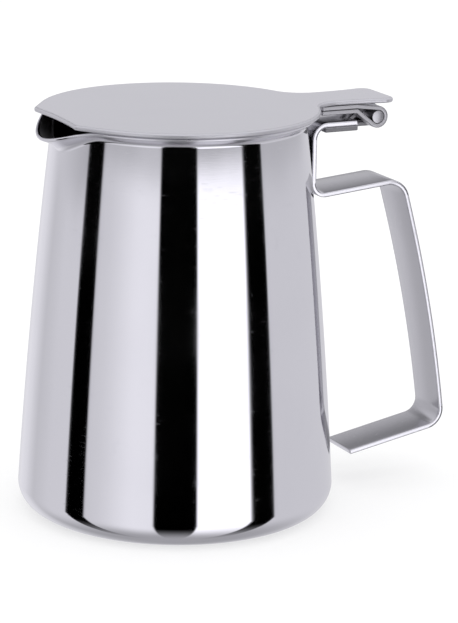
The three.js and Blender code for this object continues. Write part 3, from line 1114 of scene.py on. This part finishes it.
@dataclass(frozen=True)
class Surroundings:
    """White room with upright dark flags, a bright window and a dark screen hung behind the jug.

    Each profile gives pairs of azimuth, in degrees from +X, and a value: the brightness below the
    top edge of the walls, the brightness above it, and that edge's elevation in degrees.
    A span is the two elevations between which something changes, that of the edge counted from the
    top edge. The dark screen's foot and head are spans too, and its sides are degrees of azimuth off
    its centre. The brightness by direction is what gloss rays see. Other rays see a soft white.
    """

    lower: tuple[tuple[float, float], ...] = (
        (-180, 0.71), (-172, 0.745), (-165, 0.80), (-158, 0.87), (-150, 0.94), (-145, 0.96),
        (-130.9, 0.95), (-129.7, 0.0), (-99.6, 0.0), (-98.4, 1.35), (-58.6, 1.35), (-57.4, 0.0),
        (-39.4, 0.0), (-38.0, 0.70), (0, 0.705), (40, 0.70), (64, 0.67), (90, 0.86), (104, 0.82),
        (120, 0.64), (130, 0.68), (140, 0.73), (159.0, 0.74), (160.4, 0.0), (176.0, 0.0),
        (177.4, 0.71), (180, 0.71),
    )
    upper: tuple[tuple[float, float], ...] = (
        (-180, 0.50), (-172, 0.50), (-158, 0.52), (-145, 0.60), (-130.9, 0.60), (-129.7, 0.0),
        (-99.6, 0.0), (-98.4, 0.42), (-58.6, 0.42), (-57.4, 0.0), (-39.4, 0.0), (-38.0, 0.53),
        (20, 0.54), (44, 0.67), (64, 0.68), (90, 0.69), (118, 0.71), (140, 0.60), (159.0, 0.50),
        (160.4, 0.0), (176.0, 0.0), (177.4, 0.50), (180, 0.50),
    )
    top_edge: tuple[tuple[float, float], ...] = (
        (-180, -0.6), (-166, 0.0), (-150, 0.4), (-131, 0.7), (-98, 1.1), (-74, 0.5), (-58, -0.2),
        (-38, -1.8), (-20, -3.3), (0, -4.75), (14, -6.0), (40, -8.0), (120, -6.0), (150, -4.2),
        (159, -3.2), (176, -1.2), (180, -0.6),
    )
    edge_span: tuple[float, float] = (-0.9, 0.7)
    foot_span: tuple[float, float] = (-84, -28)
    head_span: tuple[float, float] = (5, 11)
    falling_span: tuple[float, float] = (-88, -22)
    overhead_span: tuple[float, float] = (-40, 50)
    low: float = 0.42
    high: float = 0.86
    dark_centre: float = 74.0
    dark_sides: tuple[float, float] = (26, 44)
    dark_foot: tuple[float, float] = (5, 48)
    dark_head: tuple[float, float] = (36, 54)
    dark_depth: float = 0.85
    soft_white: float = 1.12
    tint: tuple[float, float, float] = (0.985, 0.98, 1.03)
    seen_white: float = 1.0

    def build(self) -> None:
        """Fills the world's nodes."""
        world = bpy.data.worlds.new("white_room")
        bpy.context.scene.world = world
        world.use_nodes = True
        tree = Tree(world.node_tree)
        direction = tree.node("ShaderNodeTexCoord").outputs["Generated"]
        parts = tree.node("ShaderNodeSeparateXYZ", {}, {0: direction}).outputs
        x, y, z = (Term(tree, parts[k]) for k in range(3))
        azimuth = y.arctan2(x) * (180 / math.pi)
        elevation = z.arcsine() * (180 / math.pi)
        above = (elevation - tree.profile(azimuth, self.top_edge)).between(*self.edge_span)
        walls = tree.profile(azimuth, self.lower) * (1 - above) + tree.profile(azimuth, self.upper) * above
        upright = elevation.between(*self.foot_span) * (1 - elevation.between(*self.head_span))
        falling = 1 - (1 - self.low) * (1 - elevation.between(*self.falling_span))
        overhead = elevation.between(*self.overhead_span)
        plain = (1 - overhead) * self.low + overhead * self.high
        aside = (azimuth - self.dark_centre).size()
        hung = (1 - aside.between(*self.dark_sides)) * elevation.between(*self.dark_foot)
        shade = 1 - self.dark_depth * hung * (1 - elevation.between(*self.dark_head))
        gloss = (walls * upright * falling + plain * (1 - upright)) * shade
        path = tree.node("ShaderNodeLightPath").outputs
        glossy, seen = Term(tree, path["Is Glossy Ray"]), Term(tree, path["Is Camera Ray"])
        strength = glossy * gloss + seen * self.seen_white + (1 - glossy - seen) * self.soft_white
        colour = tree.blend(glossy, (1, 1, 1), self.tint)
        background = tree.node("ShaderNodeBackground", {}, {"Color": colour, "Strength": strength})
        tree.node("ShaderNodeOutputWorld", {}, {"Surface": background.outputs[0]})


@dataclass(frozen=True)
class Floor:
    """Wide pale table top, lit softly from below, which polished surfaces don't show."""

    half_side: float = 3.0
    lines: int = 5
    pale: tuple[float, float, float] = (0.42, 0.42, 0.423)
    paler: tuple[float, float, float] = (0.44, 0.44, 0.443)
    glow: float = 0.60
    cells: float = 3.0
    roughness: float = 0.9

    def build(self) -> bpy.types.Object:
        """Builds the floor as a grid and hides it from gloss rays.

        Returns:
            The floor.
        """
        side = np.linspace(-self.half_side, self.half_side, self.lines)
        x, y = np.meshgrid(side, side, indexing="ij")
        index = np.arange(x.size).reshape(x.shape)
        mesh = bpy.data.meshes.new("floor")
        mesh.from_pydata(np.stack([x, y, 0 * x], -1).reshape(-1, 3).tolist(), [], quads_of(index).tolist())
        floor = new_object("floor", mesh)
        material, tree = new_material("pale_floor")
        place = tree.node("ShaderNodeTexCoord").outputs["Object"]
        colour = tree.blend(tree.noise(place, self.cells), self.pale, self.paler)
        looks = {"Base Color": colour, "Roughness": self.roughness}
        shader = tree.node("ShaderNodeBsdfPrincipled", {}, looks)
        shader.inputs["Specular IOR Level"].default_value = 0.0
        shader.inputs["Emission Color"].default_value = (1, 1, 1, 1)
        shader.inputs["Emission Strength"].default_value = self.glow
        tree.node("ShaderNodeOutputMaterial", {}, {"Surface": shader.outputs[0]})
        mesh.materials.append(material)
        floor.visible_glossy = False
        return floor


@dataclass(frozen=True)
class Viewpoint:
    """Camera place in metres, its turns in degrees and its lens."""

    place: tuple[float, float, float] = (-0.29355, -0.62953, 0.2303)
    heading: float = -26.054
    tilt: float = -14.622
    roll: float = -0.974
    lens: float = 168.44
    sensor: float = 36.0
    clip: tuple[float, float] = (0.01, 20.0)

    def build(self) -> bpy.types.Object:
        """Makes the camera: level along +Y, then rolled, tilted and turned about +Z.

        Returns:
            The camera, which is the scene's own.
        """
        data = bpy.data.cameras.new("camera")
        data.lens = self.lens
        data.sensor_width = self.sensor
        data.clip_start, data.clip_end = self.clip
        camera = new_object("camera", data)
        turn = (
            Matrix.Rotation(math.radians(self.heading), 4, "Z")
            @ Matrix.Rotation(math.radians(self.tilt), 4, "X")
            @ Matrix.Rotation(math.radians(self.roll), 4, "Y")
            @ Matrix.Rotation(math.radians(90), 4, "X")
        )
        camera.matrix_world = Matrix.Translation(Vector(self.place)) @ turn
        bpy.context.scene.camera = camera
        return camera


# ---- all together ----

WELD_BELOW_RIM = 18.5
WELD_STANDOFF = 0.2
LID_SEAT_GAP = 0.2
TONGUE_PAST_PIN = 4.3


def main() -> None:
    """Builds the jug's pieces, the floor, the surroundings and the camera.

    The strip stands off the wall by the weld's thickness, and the lid above the rim by a small gap.
    """
    logging.basicConfig(level=logging.INFO, format="%(name)s %(message)s")
    body = JugBody()
    back = float(body.wall_radius(body.height - WELD_BELOW_RIM)) + WELD_STANDOFF
    lid_underside = body.height + LID_SEAT_GAP
    pin_x, _, pin_z = (place / MM for place in frame["joints"][0]["pos_m"])
    hinge = Hinge(pin_x, pin_z)
    makers = (
        body,
        HandleStrip(body, hinge, back),
        HingePin(hinge),
        LidPlate(body.rim_radius, lid_underside, hinge.pin_x + TONGUE_PAST_PIN),
        HingeStrap(hinge, lid_underside),
        Floor(),
    )
    for maker in makers:
        piece = maker.build()
        log.info("%s: %d faces", piece.name, len(piece.data.polygons))
    Surroundings().build()
    Viewpoint().build()
    bpy.context.scene.view_settings.view_transform = "Standard"


if __name__ == "__main__":
    main()
